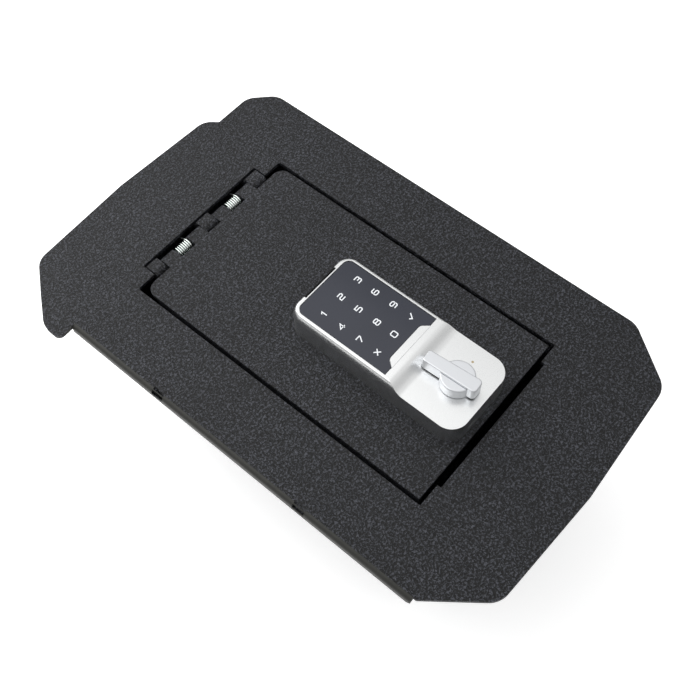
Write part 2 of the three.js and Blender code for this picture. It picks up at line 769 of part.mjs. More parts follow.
// The spindle's lower end has four flats milled on its round bar, for the cam's square hole.
function makeSpindle() {
  const half = spindle.square / 2;
  const shoulder = camTop + spindle.shoulderRise;
  const round = post(lock.x, knobY, spindle.radius, camBottom, shoulder, 24);
  const flats = block(lock.x - half, lock.x + half, knobY - half, knobY + half, camBottom, shoulder);
  const above = post(lock.x, knobY, spindle.radius, shoulder, knob.bottom, 24);
  const boreTop = camBottom + camScrewBore.depth + camScrewBore.spareDepth;
  const bore = post(lock.x, knobY, camScrewBore.radius, camBottom - cutMargin, boreTop, 16);
  return round.intersect(flats).add(above).subtract(bore);
}

// The cam points along +X as stored and swings under the strike with a quarter turn clockwise.
function makeLatchCam() {
  const half = cam.width / 2;
  const plan = rectangle(lock.x - half, lock.x + cam.reach, knobY - half, knobY + half, cam.tipRadius);
  const hub = post(lock.x, knobY, cam.hubRadius, camBottom, camTop, 32);
  const hole = spindle.square / 2 + fittedGap;
  return sweepUp(plan, camBottom, camTop).add(hub)
    .subtract(block(lock.x - hole, lock.x + hole, knobY - hole, knobY + hole, camBottom - cutMargin,
      camTop + cutMargin));
}

function makeCamScrew() {
  const washerBottom = camBottom - camScrew.washerThickness;
  const headBottom = washerBottom - camScrew.headHeight;
  return union([
    post(lock.x, knobY, camScrew.washerRadius, washerBottom, camBottom, 24),
    post(lock.x, knobY, camScrew.headRadius, headBottom, washerBottom + camScrew.washerThickness / 2, 6),
    post(lock.x, knobY, camScrew.shankRadius, washerBottom, camBottom + camScrewBore.depth, 16),
  ]);
}

// Assembly. The model's origin goes under the middle of its outline, on the surface that the box stands on.

const outlineMiddle = [(ear.tip + plate.right) / 2, (plate.front + plate.rear) / 2];
const safe = new THREE.Group();

function addPart(name, solid, finish) {
  const geometry = toGeometry(solid);
  geometry.translate(-outlineMiddle[0], -outlineMiddle[1], box.depth);
  const mesh = new THREE.Mesh(geometry, finish);
  mesh.name = name;
  safe.add(mesh);
}

addPart('top_plate', makeTopPlate(), texturedBlack());
addPart('box_channel', makeBoxChannel(), texturedBlack());
addPart('box_front_wall', makeEndWall(box.front), texturedBlack());
addPart('box_rear_wall', makeEndWall(box.rear - boxThickness), texturedBlack());
addPart('door_ledge_left', makeLedge(box.left + boxThickness, door.left), texturedBlack());
addPart('door_ledge_right', makeLedge(box.right - boxThickness, door.right), texturedBlack());
addPart('latch_strike', makeStrike(), texturedBlack());
knuckleSpans.forEach((span, i) => addPart(`hinge_knuckle_${i + 1}`, makeKnuckle(span), texturedBlack()));
addPart('hinge_pin', makePin(), plainSteel());
springSpans.forEach((span, i) => addPart(`hinge_spring_${i + 1}`, makeSpring(span), zincPlate()));

addPart('door_panel', makeDoor(), texturedBlack());
addPart('lock_floor', makeLockFloor(), blackPlastic());
addPart('lock_housing', makeLockHousing(), satinSilver());
addPart('keypad_glass', makeKeypadGlass(), darkGlass());
addPart('battery_cap', makeBatteryCap(), blackPlastic());
addPart('lock_backplate', makeBackplate(), zincPlate());
addPart('sleeve_nut', makeSleeveNut(), zincPlate());
lockScrewPlaces.forEach((place, i) => addPart(`lock_screw_${i + 1}`, makeLockScrew(place), zincPlate()));

addPart('knob', makeKnob(), satinSilver());
addPart('spindle', makeSpindle(), plainSteel());
addPart('latch_cam', makeLatchCam(), zincPlate());
addPart('cam_screw', makeCamScrew(), zincPlate());

export default safe;
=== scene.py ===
# Console safe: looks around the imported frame.
# Sizes are in mm on the plate's own zero, which is its top face at the middle of the door.
import math

import bmesh
import bpy
from mathutils import Matrix, Vector


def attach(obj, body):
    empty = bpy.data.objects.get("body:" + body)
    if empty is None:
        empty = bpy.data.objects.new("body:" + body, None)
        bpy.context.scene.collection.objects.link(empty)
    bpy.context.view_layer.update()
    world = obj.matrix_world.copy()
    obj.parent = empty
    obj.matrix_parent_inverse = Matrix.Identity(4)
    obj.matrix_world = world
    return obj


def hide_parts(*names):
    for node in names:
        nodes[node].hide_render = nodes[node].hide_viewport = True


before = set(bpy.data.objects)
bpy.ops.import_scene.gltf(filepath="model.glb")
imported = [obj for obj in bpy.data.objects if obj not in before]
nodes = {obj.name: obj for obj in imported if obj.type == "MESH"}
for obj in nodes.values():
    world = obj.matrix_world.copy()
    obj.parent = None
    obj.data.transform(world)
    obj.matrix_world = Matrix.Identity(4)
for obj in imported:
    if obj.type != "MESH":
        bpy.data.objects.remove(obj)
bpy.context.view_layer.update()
scene = bpy.context.scene
origin = Vector((9.15, 18.3, -140.0))  # the frame's origin, seen from the plate's zero
ontoOrigin = Matrix.Translation(origin / 1000)  # takes a mesh from the plate's zero to the frame's origin


def at(x, y, z):
    return (Vector((x, y, z)) - origin) / 1000  # plate millimetres to frame metres


# Colours and material helpers

def linear(code):
    parts = [int(code[i:i + 2], 16) / 255 for i in (1, 3, 5)]
    return tuple(c / 12.92 if c <= 0.04045 else ((c + 0.055) / 1.055) ** 2.4 for c in parts) + (1.0,)


def node(tree, kind, links=None, **settings):
    made = tree.nodes.new(kind)
    for name, value in settings.items():
        if name == "inputs":
            for socket, number in value.items():
                made.inputs[socket].default_value = number
        elif name == "stops":
            elements = made.color_ramp.elements
            while len(elements) < len(value):
                elements.new(0.5)
            for element, (position, colour) in zip(elements, value):
                element.position = position
                element.color = linear(colour) if isinstance(colour, str) else (colour, colour, colour, 1)
        else:
            setattr(made, name, value)
    for socket, source in (links or {}).items():
        tree.links.new(source, made.inputs[socket])
    return made


def startMaterial(name, colour, sockets):
    material = bpy.data.materials.new(name)
    material.use_nodes = True
    tree = material.node_tree
    shader = tree.nodes["Principled BSDF"]
    shader.inputs["Base Color"].default_value = linear(colour)
    for socket, value in sockets.items():
        shader.inputs[socket].default_value = value
    place = node(tree, "ShaderNodeTexCoord").outputs["Object"]
    return material, tree, shader, place


def perMetre(millimetres):
    return 1000 / millimetres  # texture scale for a grain of that size


def between(low, high):
    return [(0.3, low), (0.7, high)]  # ramp stops: nearly all of a noise lies between these two


# Textured powder coat: baked-on black polyester with a wrinkled grain. It stays dark, but the crest of each
# wrinkle is painted paler as a painted highlight and each pit darker as painted shade, so the sheet looks
# finely speckled. The real grain is about 1 mm across; it is drawn a little coarser, so that it shows.
powder = {
    "pit": "#020203", "ground": "#101114", "crest": "#484a51", "grain": 1.25, "fine": 0.5, "drift": 45,
    "rough": (0.62, 0.40), "wrinkle": 1.0, "shine": 0.33,
}


def makePowderCoat():
    material, tree, shader, place = startMaterial("texturedPowderCoat", powder["ground"], {
        "Metallic": 0.0, "Roughness": 0.55, "Specular IOR Level": powder["shine"]})
    wrinkle = node(tree, "ShaderNodeTexNoise", {"Vector": place},
                   inputs={"Scale": perMetre(powder["grain"]), "Detail": 2.0, "Roughness": 0.55,
                           "Distortion": 0.9})
    fine = node(tree, "ShaderNodeTexNoise", {"Vector": place},
                inputs={"Scale": perMetre(powder["fine"]), "Detail": 2.0, "Roughness": 0.6})
    drift = node(tree, "ShaderNodeTexNoise", {"Vector": place},
                 inputs={"Scale": perMetre(powder["drift"]), "Detail": 2.0, "Roughness": 0.5})
    # The colour follows the wrinkle height: the crest tone is a painted highlight, the pit tone painted shade.
    shade = node(tree, "ShaderNodeValToRGB", {"Fac": wrinkle.outputs["Fac"]},
                 stops=[(0.40, powder["pit"]), (0.50, powder["ground"]), (0.66, powder["crest"])])
    tint = node(tree, "ShaderNodeValToRGB", {"Fac": drift.outputs["Fac"]}, stops=between(0.8, 1.0))
    mixed = node(tree, "ShaderNodeMix", {6: shade.outputs["Color"], 7: tint.outputs["Color"]},
                 data_type="RGBA", blend_type="MULTIPLY", inputs={"Factor": 1.0})
    tree.links.new(mixed.outputs[2], shader.inputs["Base Color"])
    gloss = node(tree, "ShaderNodeValToRGB", {"Fac": fine.outputs["Fac"]},
                 stops=[(0.35, powder["rough"][0]), (0.7, powder["rough"][1])])
    tree.links.new(gloss.outputs["Color"], shader.inputs["Roughness"])
    low = node(tree, "ShaderNodeBump", {"Height": wrinkle.outputs["Fac"]},
               inputs={"Strength": powder["wrinkle"], "Distance": 0.0009})
    high = node(tree, "ShaderNodeBump", {"Height": fine.outputs["Fac"], "Normal": low.outputs["Normal"]},
                inputs={"Strength": 0.35, "Distance": 0.0003})
    tree.links.new(high.outputs["Normal"], shader.inputs["Normal"])
    return material


# The same coat over the folded edge, drawn smooth without its wrinkles. Its browner, paler tone is a painted
# reflection of the light along the bend.
bend = {"colour": "#232320", "pale": "#2a2a26", "rough": 0.5, "cloud": 6}


def makeBendCoat():
    material, tree, shader, place = startMaterial("smoothPowderCoatPaintedSheen", bend["colour"], {
        "Metallic": 0.0, "Roughness": bend["rough"], "Specular IOR Level": powder["shine"]})
    cloud = node(tree, "ShaderNodeTexNoise", {"Vector": place},
                 inputs={"Scale": perMetre(bend["cloud"]), "Detail": 2.0, "Roughness": 0.5})
    # Both tones are paler and browner than the plate's coat: painted reflection along the fold.
    tone = node(tree, "ShaderNodeValToRGB", {"Fac": cloud.outputs["Fac"]},
                stops=between(bend["colour"], bend["pale"]))
    tree.links.new(tone.outputs["Color"], shader.inputs["Base Color"])
    return material


# Satin chrome on die-cast zinc: blasted soft before plating, so it mirrors its surroundings as a bright haze.
# The knob is polished less than the housing and looks a shade greyer. The blasted grain is far below a
# millimetre and is drawn coarser, so that it shows.
satin = {"housing": ("#e2e3e3", 0.26, 0.34), "knob": ("#d5d7da", 0.28, 0.38), "grain": 0.35}


def makeSatinChrome(name, colour, smooth, dull):
    material, tree, shader, place = startMaterial(name, colour, {"Metallic": 1.0, "Roughness": dull})
    grain = node(tree, "ShaderNodeTexNoise", {"Vector": place},
                 inputs={"Scale": perMetre(satin["grain"]), "Detail": 2.0, "Roughness": 0.7})
    haze = node(tree, "ShaderNodeValToRGB", {"Fac": grain.outputs["Fac"]}, stops=between(smooth, dull))
    tree.links.new(haze.outputs["Color"], shader.inputs["Roughness"])
    bump = node(tree, "ShaderNodeBump", {"Height": grain.outputs["Fac"]},
                inputs={"Strength": 0.05, "Distance": 0.0002})
    tree.links.new(bump.outputs["Normal"], shader.inputs["Normal"])
    return material


# Touch panel: clear acrylic printed slate blue on its back, so the colour sits under a wet-looking gloss.
panel = {"dark": "#22252f", "light": "#282b36", "rough": 0.2, "cloud": 45}


def makePanelPrint():
    material, tree, shader, place = startMaterial("backPrintedAcrylic", panel["dark"], {
        "Metallic": 0.0, "Roughness": panel["rough"], "IOR": 1.45, "Coat Weight": 0.15, "Coat Roughness": 0.06})
    cloud = node(tree, "ShaderNodeTexNoise", {"Vector": place},
                 inputs={"Scale": perMetre(panel["cloud"]), "Detail": 1.0, "Roughness": 0.4})
    tone = node(tree, "ShaderNodeValToRGB", {"Fac": cloud.outputs["Fac"]},
                stops=between(panel["dark"], panel["light"]))
    tree.links.new(tone.outputs["Color"], shader.inputs["Base Color"])
    return material


# Screen-printed ink: a flat, slightly chalky film. Each ink has its full tone and that of its thin spots.
ink = {"white": ("#e9ecef", "#cfd3d8"), "tan": ("#a89878", "#958565"), "fleck": 0.4}


def makeInk(name, full, thin):
    material, tree, shader, place = startMaterial(name, full, {"Metallic": 0.0, "Roughness": 0.55})
    fleck = node(tree, "ShaderNodeTexNoise", {"Vector": place},
                 inputs={"Scale": perMetre(ink["fleck"]), "Detail": 1.0, "Roughness": 0.5})
    tone = node(tree, "ShaderNodeValToRGB", {"Fac": fleck.outputs["Fac"]}, stops=[(0.25, thin), (0.5, full)])
    tree.links.new(tone.outputs["Color"], shader.inputs["Base Color"])
    return material


# Zinc plated spring wire and stampings: bright, with the faint green-blue of clear passivation.
zinc = {"colour": "#edf6f2", "tones": ("#dfece6", "#f7fbf8"), "haze": (0.14, 0.26), "film": 4}


def makeZincPlate():
    material, tree, shader, place = startMaterial("passivatedZinc", zinc["colour"], {
        "Metallic": 1.0, "Roughness": 0.2})
    film = node(tree, "ShaderNodeTexNoise", {"Vector": place},
                inputs={"Scale": perMetre(zinc["film"]), "Detail": 2.0, "Roughness": 0.5})
    tone = node(tree, "ShaderNodeValToRGB", {"Fac": film.outputs["Fac"]}, stops=between(*zinc["tones"]))
    haze = node(tree, "ShaderNodeValToRGB", {"Fac": film.outputs["Fac"]}, stops=between(*zinc["haze"]))
    tree.links.new(tone.outputs["Color"], shader.inputs["Base Color"])
    tree.links.new(haze.outputs["Color"], shader.inputs["Roughness"])
    return material


# Turned mild steel, oiled: grey with fine rings and a soft shine.
steel = {"colour": "#9a9c9f", "haze": (0.28, 0.46), "rings": 0.6}


def makeTurnedSteel():
    material, tree, shader, place = startMaterial("oiledTurnedSteel", steel["colour"], {
        "Metallic": 1.0, "Roughness": 0.36})
    rings = node(tree, "ShaderNodeTexNoise", {"Vector": place},
                 inputs={"Scale": perMetre(steel["rings"]), "Detail": 2.0, "Roughness": 0.6})
    haze = node(tree, "ShaderNodeValToRGB", {"Fac": rings.outputs["Fac"]}, stops=between(*steel["haze"]))
    tree.links.new(haze.outputs["Color"], shader.inputs["Roughness"])
    return material


# Moulded ABS with a fine spark-eroded grain: dull black that greys a little where light rakes over it. The
# grain is drawn coarser than the real one, so that it shows.
moulded = {"colour": "#050506", "haze": (0.5, 0.66), "grain": 0.3, "shine": 0.1}


def makeMouldedAbs():
    material, tree, shader, place = startMaterial("mouldedAbs", moulded["colour"], {
        "Metallic": 0.0, "Roughness": 0.6, "IOR": 1.53, "Specular IOR Level": moulded["shine"]})
    grain = node(tree, "ShaderNodeTexNoise", {"Vector": place},
                 inputs={"Scale": perMetre(moulded["grain"]), "Detail": 2.0, "Roughness": 0.6})
    haze = node(tree, "ShaderNodeValToRGB", {"Fac": grain.outputs["Fac"]}, stops=between(*moulded["haze"]))
    tree.links.new(haze.outputs["Color"], shader.inputs["Roughness"])
    bump = node(tree, "ShaderNodeBump", {"Height": grain.outputs["Fac"]},
                inputs={"Strength": 0.2, "Distance": 0.0001})
    tree.links.new(bump.outputs["Normal"], shader.inputs["Normal"])
    return material


powderCoat = makePowderCoat()
bendCoatPaintedSheen = makeBendCoat()
satinHousingMetal = makeSatinChrome("satinChromeZinc", *satin["housing"])
satinKnobMetal = makeSatinChrome("satinChromeKnob", *satin["knob"])
panelPrint = makePanelPrint()
whiteInk = makeInk("whitePanelInk", *ink["white"])
tanInk = makeInk("tanDeckInk", *ink["tan"])
zincPlate = makeZincPlate()
turnedSteel = makeTurnedSteel()
mouldedAbs = makeMouldedAbs()
print("materials made:", len(bpy.data.materials))


# Mesh helpers

def newPiece(name, mesh, material, body, slot, *stoodFor):
    piece = bpy.data.objects.new(name, mesh)
    scene.collection.objects.link(piece)
    mesh.materials.clear()
    mesh.materials.append(material)
    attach(piece, body)
    if stoodFor:
        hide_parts(*stoodFor)
    return piece


def evenShading(piece):
    even = piece.modifiers.new("evenShading", "WEIGHTED_NORMAL")
    even.keep_sharp = True


def softenEdges(piece, width, segments=2, angle=35):
    bevel = piece.modifiers.new("softEdges", "BEVEL")
    bevel.width = width / 1000
    bevel.segments = segments
    bevel.limit_method = "ANGLE"
    bevel.angle_limit = math.radians(angle)
    bevel.use_clamp_overlap = True
    evenShading(piece)


def shadeSmooth(mesh, sharpFrom=35):
    mesh.polygons.foreach_set("use_smooth", [True] * len(mesh.polygons))
    mesh.set_sharp_from_angle(angle=math.radians(sharpFrom))
    mesh.update()


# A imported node's mesh is loose triangles, so a copy is welded and its flat faces are joined: metres, degrees
cleaning = {"weld": 2e-6, "flat": 0.6}


def mergedCopy(name):
    mesh = nodes[name].data.copy()
    work = bmesh.new()
    work.from_mesh(mesh)
    bmesh.ops.remove_doubles(work, verts=work.verts, dist=cleaning["weld"])
    flat = math.radians(cleaning["flat"])
    bmesh.ops.dissolve_limit(work, angle_limit=flat, verts=work.verts, edges=work.edges)
    work.to_mesh(mesh)
    work.free()
    return mesh


def dressNode(name, pieceName, material, body, slot, width):
    mesh = mergedCopy(name)
    shadeSmooth(mesh)
    softenEdges(newPiece(pieceName, mesh, material, body, slot, name), width)


def closeWork(work, name):
    bmesh.ops.recalc_face_normals(work, faces=work.faces)
    mesh = bpy.data.meshes.new(name)
    work.to_mesh(mesh)
    work.free()
    return mesh


def ring(work, points, z):
    return [work.verts.new(at(p[0], p[1], z)) for p in points]


def joinRings(work, rings):
    for lower, upper in zip(rings, rings[1:]):
        for i in range(len(lower)):
            j = (i + 1) % len(lower)
            work.faces.new((lower[i], lower[j], upper[j], upper[i]))


def stackRings(work, rings):
    joinRings(work, rings)
    work.faces.new(list(reversed(rings[0])))
    work.faces.new(rings[-1])


def prism(name, points, bottom, top):
    work = bmesh.new()
    low, high = ring(work, points, bottom), ring(work, points, top)
    work.faces.new(low)
    work.faces.new(high)
    joinRings(work, [low, high])
    return closeWork(work, name)


def boxPoints(x0, x1, y0, y1):
    return [(x0, y0), (x1, y0), (x1, y1), (x0, y1)]


def circlePoints(x, y, radius, count=64):
    return [(x + radius * math.cos(2 * math.pi * i / count), y + radius * math.sin(2 * math.pi * i / count))
            for i in range(count)]


def plateOutline(corners, steps=8):
    points = []  # corners are x, y, radius
    count = len(corners)
    for i, (x, y, radius) in enumerate(corners):
        here = Vector((x, y))
        before = (Vector(corners[i - 1][:2]) - here).normalized()
        after = (Vector(corners[(i + 1) % count][:2]) - here).normalized()
        if not radius:
            points.append(here)
            continue
        half = before.angle(after) / 2
        enter, leave = here + before * radius / math.tan(half), here + after * radius / math.tan(half)
        centre = here + (before + after).normalized() * radius / math.sin(half)
        start = enter - centre
        turn = start.angle_signed(leave - centre)
        for k in range(steps + 1):
            points.append(centre + Matrix.Rotation(-turn * k / steps, 2) @ start)
    return points


def quarterRound(edge, steps):
    turns = [math.radians(90 * i / steps) for i in range(steps + 1)]
    return [(edge * (1 - math.cos(a)), edge * (1 - math.sin(a))) for a in turns]  # how far in and below the top


def cutMesh(mesh, cutters):
    body = bpy.data.objects.new("cutWork", mesh)
    scene.collection.objects.link(body)
    tools = []
    for cutter in cutters:
        tool = bpy.data.objects.new("cutTool", cutter)
        scene.collection.objects.link(tool)
        tools.append(tool)
        step = body.modifiers.new("cut", "BOOLEAN")
        step.operation = "DIFFERENCE"
        step.solver = "EXACT"
        step.object = tool
    bpy.context.view_layer.update()
    result = bpy.data.meshes.new_from_object(body.evaluated_get(bpy.context.evaluated_depsgraph_get()))
    for extra in [body, *tools]:
        bpy.data.objects.remove(extra)
    return result


above, wellAbove, below = 30, 40, -20  # cutters that go right through end here, outside every piece

# Sheet steel: the coat rounds every cut edge over, and is thicker there. Piece, body and width of the rounding.
coatedSheets = {
    "door_panel": ("coatedDoor", "door", 0.5),
    "hinge_knuckle_1": ("coatedKnuckleA", "box", 0.35),
    "hinge_knuckle_2": ("coatedKnuckleB", "box", 0.35),
    "hinge_knuckle_3": ("coatedKnuckleC", "box", 0.35),
    "box_channel": ("coatedChannel", "box", 0.4),
    "box_front_wall": ("coatedFrontWall", "box", 0.3),
    "box_rear_wall": ("coatedRearWall", "box", 0.3),
    "door_ledge_left": ("coatedLedgeLeft", "box", 0.4),
    "door_ledge_right": ("coatedLedgeRight", "box", 0.4),
    "latch_strike": ("coatedStrike", "box", 0.5),
}
for nodeName, (pieceName, body, width) in coatedSheets.items():
    dressNode(nodeName, pieceName, powderCoat, body, "textured_black", width)
print("coated sheets:", len(coatedSheets))

# Plated, turned and moulded pieces that keep the part's own shape
platedParts = {
    "lock_backplate": ("platedBackplate", "door", 0.3),
    "sleeve_nut": ("platedNut", "door", 0.4),
    "latch_cam": ("platedCam", "knob", 0.4),
    "cam_screw": ("platedCamScrew", "knob", 0.3),
}
for nodeName, (pieceName, body, width) in platedParts.items():
    dressNode(nodeName, pieceName, zincPlate, body, "zinc_plate", width)
dressNode("spindle", "turnedSpindle", turnedSteel, "knob", "plain_steel", 0.2)
dressNode("hinge_pin", "turnedPin", turnedSteel, "box", "plain_steel", 0.3)
dressNode("lock_floor", "mouldedFloor", mouldedAbs, "door", "black_plastic", 0.2)
print("plated, turned and moulded parts:", len(platedParts) + 3)


# Top plate: the two slots in its folded edge are eased on their outer side, and the bend and its lip get the
# smooth coat, whose paler tone is painted reflection.
fold = {
    "crease": -94.6, "radius": 3.0, "slots": (69.5, -43.0), "slotLong": 8.6, "recess": (-1.9, 0.6),
    "recessFloor": -1.5, "recessTop": 6, "lean": -45, "smoothFrom": 2.7, "earFront": 144.1, "edge": 0.6,
}


def makeTopPlate():
    half, halfLong = fold["radius"] / 2, fold["slotLong"] / 2
    cutters = []
    for y in fold["slots"]:
        slot = prism("slotRecess", boxPoints(*fold["recess"], -halfLong, halfLong), fold["recessFloor"],
                     fold["recessTop"])
        slot.transform(ontoOrigin)
        place = Matrix.Translation(at(fold["crease"] - half, y, -half))
        slot.transform(place @ Matrix.Rotation(math.radians(fold["lean"]), 4, "Y"))
        cutters.append(slot)
    mesh = cutMesh(mergedCopy("top_plate"), cutters)
    shadeSmooth(mesh)
    piece = newPiece("coatedPlate", mesh, powderCoat, "box", "textured_black", "top_plate")
    mesh.materials.append(bendCoatPaintedSheen)
    axis, ear = at(fold["crease"], 0, -fold["radius"]), at(0, fold["earFront"], 0).y
    for face in mesh.polygons:
        fromAxis = Vector((face.center.x - axis.x, face.center.z - axis.z))
        if face.center.x < axis.x and face.center.y < ear and fromAxis.length > fold["smoothFrom"] / 1000:
            face.material_index = 1
    softenEdges(piece, fold["edge"])


makeTopPlate()
print("top plate made")


# Lock housing: rings of points round its plan, rising up the wall and over the rounded edge. The round is cut
# off sharply where the slope comes down to the deck, which leaves the crease that runs from the panel's corner.
# The slope is a curve through four points, y and height. The plan has a few points more along its sides.
housing = {
    "x": 15.7, "width": 56.1, "front": -87.7, "rear": 39.2, "frontRadius": 11.5, "rearRadius": 9.5,
    "deck": 16.6, "keypad": 21.4, "roundAcross": 2.95, "roundDown": 7.2, "roundRuns": (-49.0, -46.5),
    "slope": [(-37.0, 21.4), (-42.3, 21.4), (-43.4, 16.6), (-49.0, 16.6)],
    "sideFront": [-60.0, -51.5, -50.2], "sideRear": [-20.0, 5.0], "frontSteps": 16, "rearSteps": 14,
    "slopeSteps": 22, "climbSteps": 14, "knobY": -67.8, "spindleHole": 4.2, "edge": 0.16,
}
# The room inside it, in two levels, with the screws' bosses and the knob's sleeve left standing
inside = {
    "wall": 2.5, "rear": 34.4, "deckFoot": -1, "deckTop": 14.1, "keypadFront": -30.0, "keypadFoot": 5,
    "keypadTop": 18.3, "corner": 1.0, "bossRadius": 4.0, "bossFoot": 2.3, "boreRadius": 2.3, "boreFoot": 1,
    "boreTop": 9.0, "bossSides": 24, "sleeveFoot": -3,
}
sleeve = {"radius": 8.0, "top": -0.01, "wallEnd": -8.0, "end": -8.2, "edge": 0.2, "sides": 48}
fixings = {
    "places": ((-17, -38), (17, -38), (-17, 24), (17, 24)), "across": 34.0, "along": 62.0, "middleY": -7.0,
}
# The keypad's glass, and the tongue of the housing that reaches into it
glass = {
    "width": 48.4, "rear": 34.7, "front": -33.8, "bottom": 19.9, "thickness": 1.3, "radius": 5.0, "edge": 0.25,
    "tongueRear": -29.1, "tongueBase": 18.2, "tongueTop": 14.6, "tongueRadius": 3.5, "gap": 0.3,
}
# Fine cuts in the housing: the seam across it, the line round its rim, the power socket and the cap's notch
trims = {
    "seamReach": 19.2, "seam": (-34.5, -34.1), "seamDeep": 0.4,
    "line": 0.16, "lineDeep": 0.12, "linePast": 0.4, "lineSteps": 14, "lineFoot": 10,
    "socketAcross": (-13.8, -6.1), "socketDeep": (-2, 1), "socketHigh": (4.6, 6.0),
    "capHalf": 14.0, "capFront": 35.7, "capRear": 45, "capBottom": 2.5,
}


def slopePoints(steps):
    a, b, c, d = [Vector(p) for p in housing["slope"]]
    points = []
    for i in range(steps + 1):
        t = i / steps
        points.append(a * (1 - t) ** 3 + b * 3 * t * (1 - t) ** 2 + c * 3 * t * t * (1 - t) + d * t ** 3)
    return points


slopeLine = slopePoints(housing["slopeSteps"])


def topHeight(y):
    if y >= slopeLine[0].x:
        return housing["keypad"]
    if y <= slopeLine[-1].x:
        return housing["deck"]
    for upper, lower in zip(slopeLine, slopeLine[1:]):
        if lower.x <= y <= upper.x:
            share = (y - lower.x) / (upper.x - lower.x)
            return lower.y + share * (upper.y - lower.y)


def roundInset(y, z):
    start, full = housing["roundRuns"]  # the round fades out over the slope's foot
    strength = min(max((y - start) / (full - start), 0.0), 1.0)
    rise = max(z - (housing["keypad"] - housing["roundDown"]), 0.0) / housing["roundDown"]
    return strength * housing["roundAcross"] * (1 - math.sqrt(max(1 - rise * rise, 0.0)))


def housingPlan():
    half = housing["width"] / 2
    x0, x1 = housing["x"] - half, housing["x"] + half
    rf, rr = housing["frontRadius"], housing["rearRadius"]
    along = housing["sideFront"] + [p.x for p in reversed(slopeLine)] + housing["sideRear"]
    plan = []  # x, y, and the way inwards

    def arc(cx, cy, radius, start, steps):
        for i in range(steps + 1):
            a = math.radians(start + 90 * i / steps)
            plan.append((cx + radius * math.cos(a), cy + radius * math.sin(a), -math.cos(a), -math.sin(a)))

    arc(x1 - rf, housing["front"] + rf, rf, -90, housing["frontSteps"])
    plan.extend((x1, y, -1, 0) for y in along)
    arc(x1 - rr, housing["rear"] - rr, rr, 0, housing["rearSteps"])
    arc(x0 + rr, housing["rear"] - rr, rr, 90, housing["rearSteps"])
    plan.extend((x0, y, 1, 0) for y in reversed(along))
    arc(x0 + rf, housing["front"] + rf, rf, 180, housing["frontSteps"])
    return plan


def buildHousingMesh():
    plan = housingPlan()
    count = len(plan)
    work = bmesh.new()
    rings = [ring(work, plan, 0)]
    foot = housing["keypad"] - housing["roundDown"]
    for step in range(housing["climbSteps"] + 1):
        climb = math.sin(math.radians(90 * step / housing["climbSteps"]))
        level = []
        for x, y, dx, dy in plan:
            z = foot + (topHeight(y) - foot) * climb
            inset = roundInset(y, z)
            level.append(work.verts.new(at(x + dx * inset, y + dy * inset, z)))
        rings.append(level)
    joinRings(work, rings)
    last, hair = rings[-1], 1e-6  # the top is closed in strips down the slope and one face on each side of it
    straight = [i for i in range(count) if abs(plan[i][3]) < hair]
    right = {round(plan[i][1], 4): last[i] for i in straight if plan[i][2] == -1}
    left = {round(plan[i][1], 4): last[i] for i in straight if plan[i][2] == 1}
    levels = [round(p.x, 4) for p in slopeLine]
    for upper, lower in zip(levels, levels[1:]):
        work.faces.new((left[lower], right[lower], right[upper], left[upper]))
    rear = [last[i] for i in range(count) if plan[i][1] >= slopeLine[0].x - hair]
    front = [last[i] for i in range(count) if plan[i][1] <= slopeLine[-1].x + hair]
    cut = len([i for i in range(count // 2) if plan[i][1] <= slopeLine[-1].x + hair])
    work.faces.new(rear)
    work.faces.new(front[cut:] + front[:cut])
    work.faces.new(list(reversed(rings[0])))
    return closeWork(work, "housingShell")


def glassOutline(grow):
    x, half = housing["x"], glass["width"] / 2 + grow
    front, tongue = glass["front"] - grow, glass["tongueRear"] - grow
    return plateOutline([
        (x - half, front, 0), (x - glass["tongueBase"] - grow / 2, front, 0),
        (x - glass["tongueTop"] + grow / 2, tongue, glass["tongueRadius"]),
        (x + glass["tongueTop"] - grow / 2, tongue, glass["tongueRadius"]),
        (x + glass["tongueBase"] + grow / 2, front, 0), (x + half, front, 0),
        (x + half, glass["rear"] + grow, glass["radius"]), (x - half, glass["rear"] + grow, glass["radius"]),
    ])


def lipOutline(inset):
    x, half = housing["x"], housing["width"] / 2 - inset
    front = housing["slope"][0][0] - trims["linePast"]
    rear, radius = housing["rear"] - inset, housing["rearRadius"] - inset
    return plateOutline([(x - half, front, 0), (x + half, front, 0), (x + half, rear, radius),
                         (x - half, rear, radius)], trims["lineSteps"])


def roomOutline(front, frontRadius):
    x, half = housing["x"], housing["width"] / 2 - inside["wall"]
    rear, rearRadius = inside["rear"], housing["rearRadius"] - inside["wall"]
    return plateOutline([(x - half, front, frontRadius), (x + half, front, frontRadius),
                         (x + half, rear, rearRadius), (x - half, rear, rearRadius)])


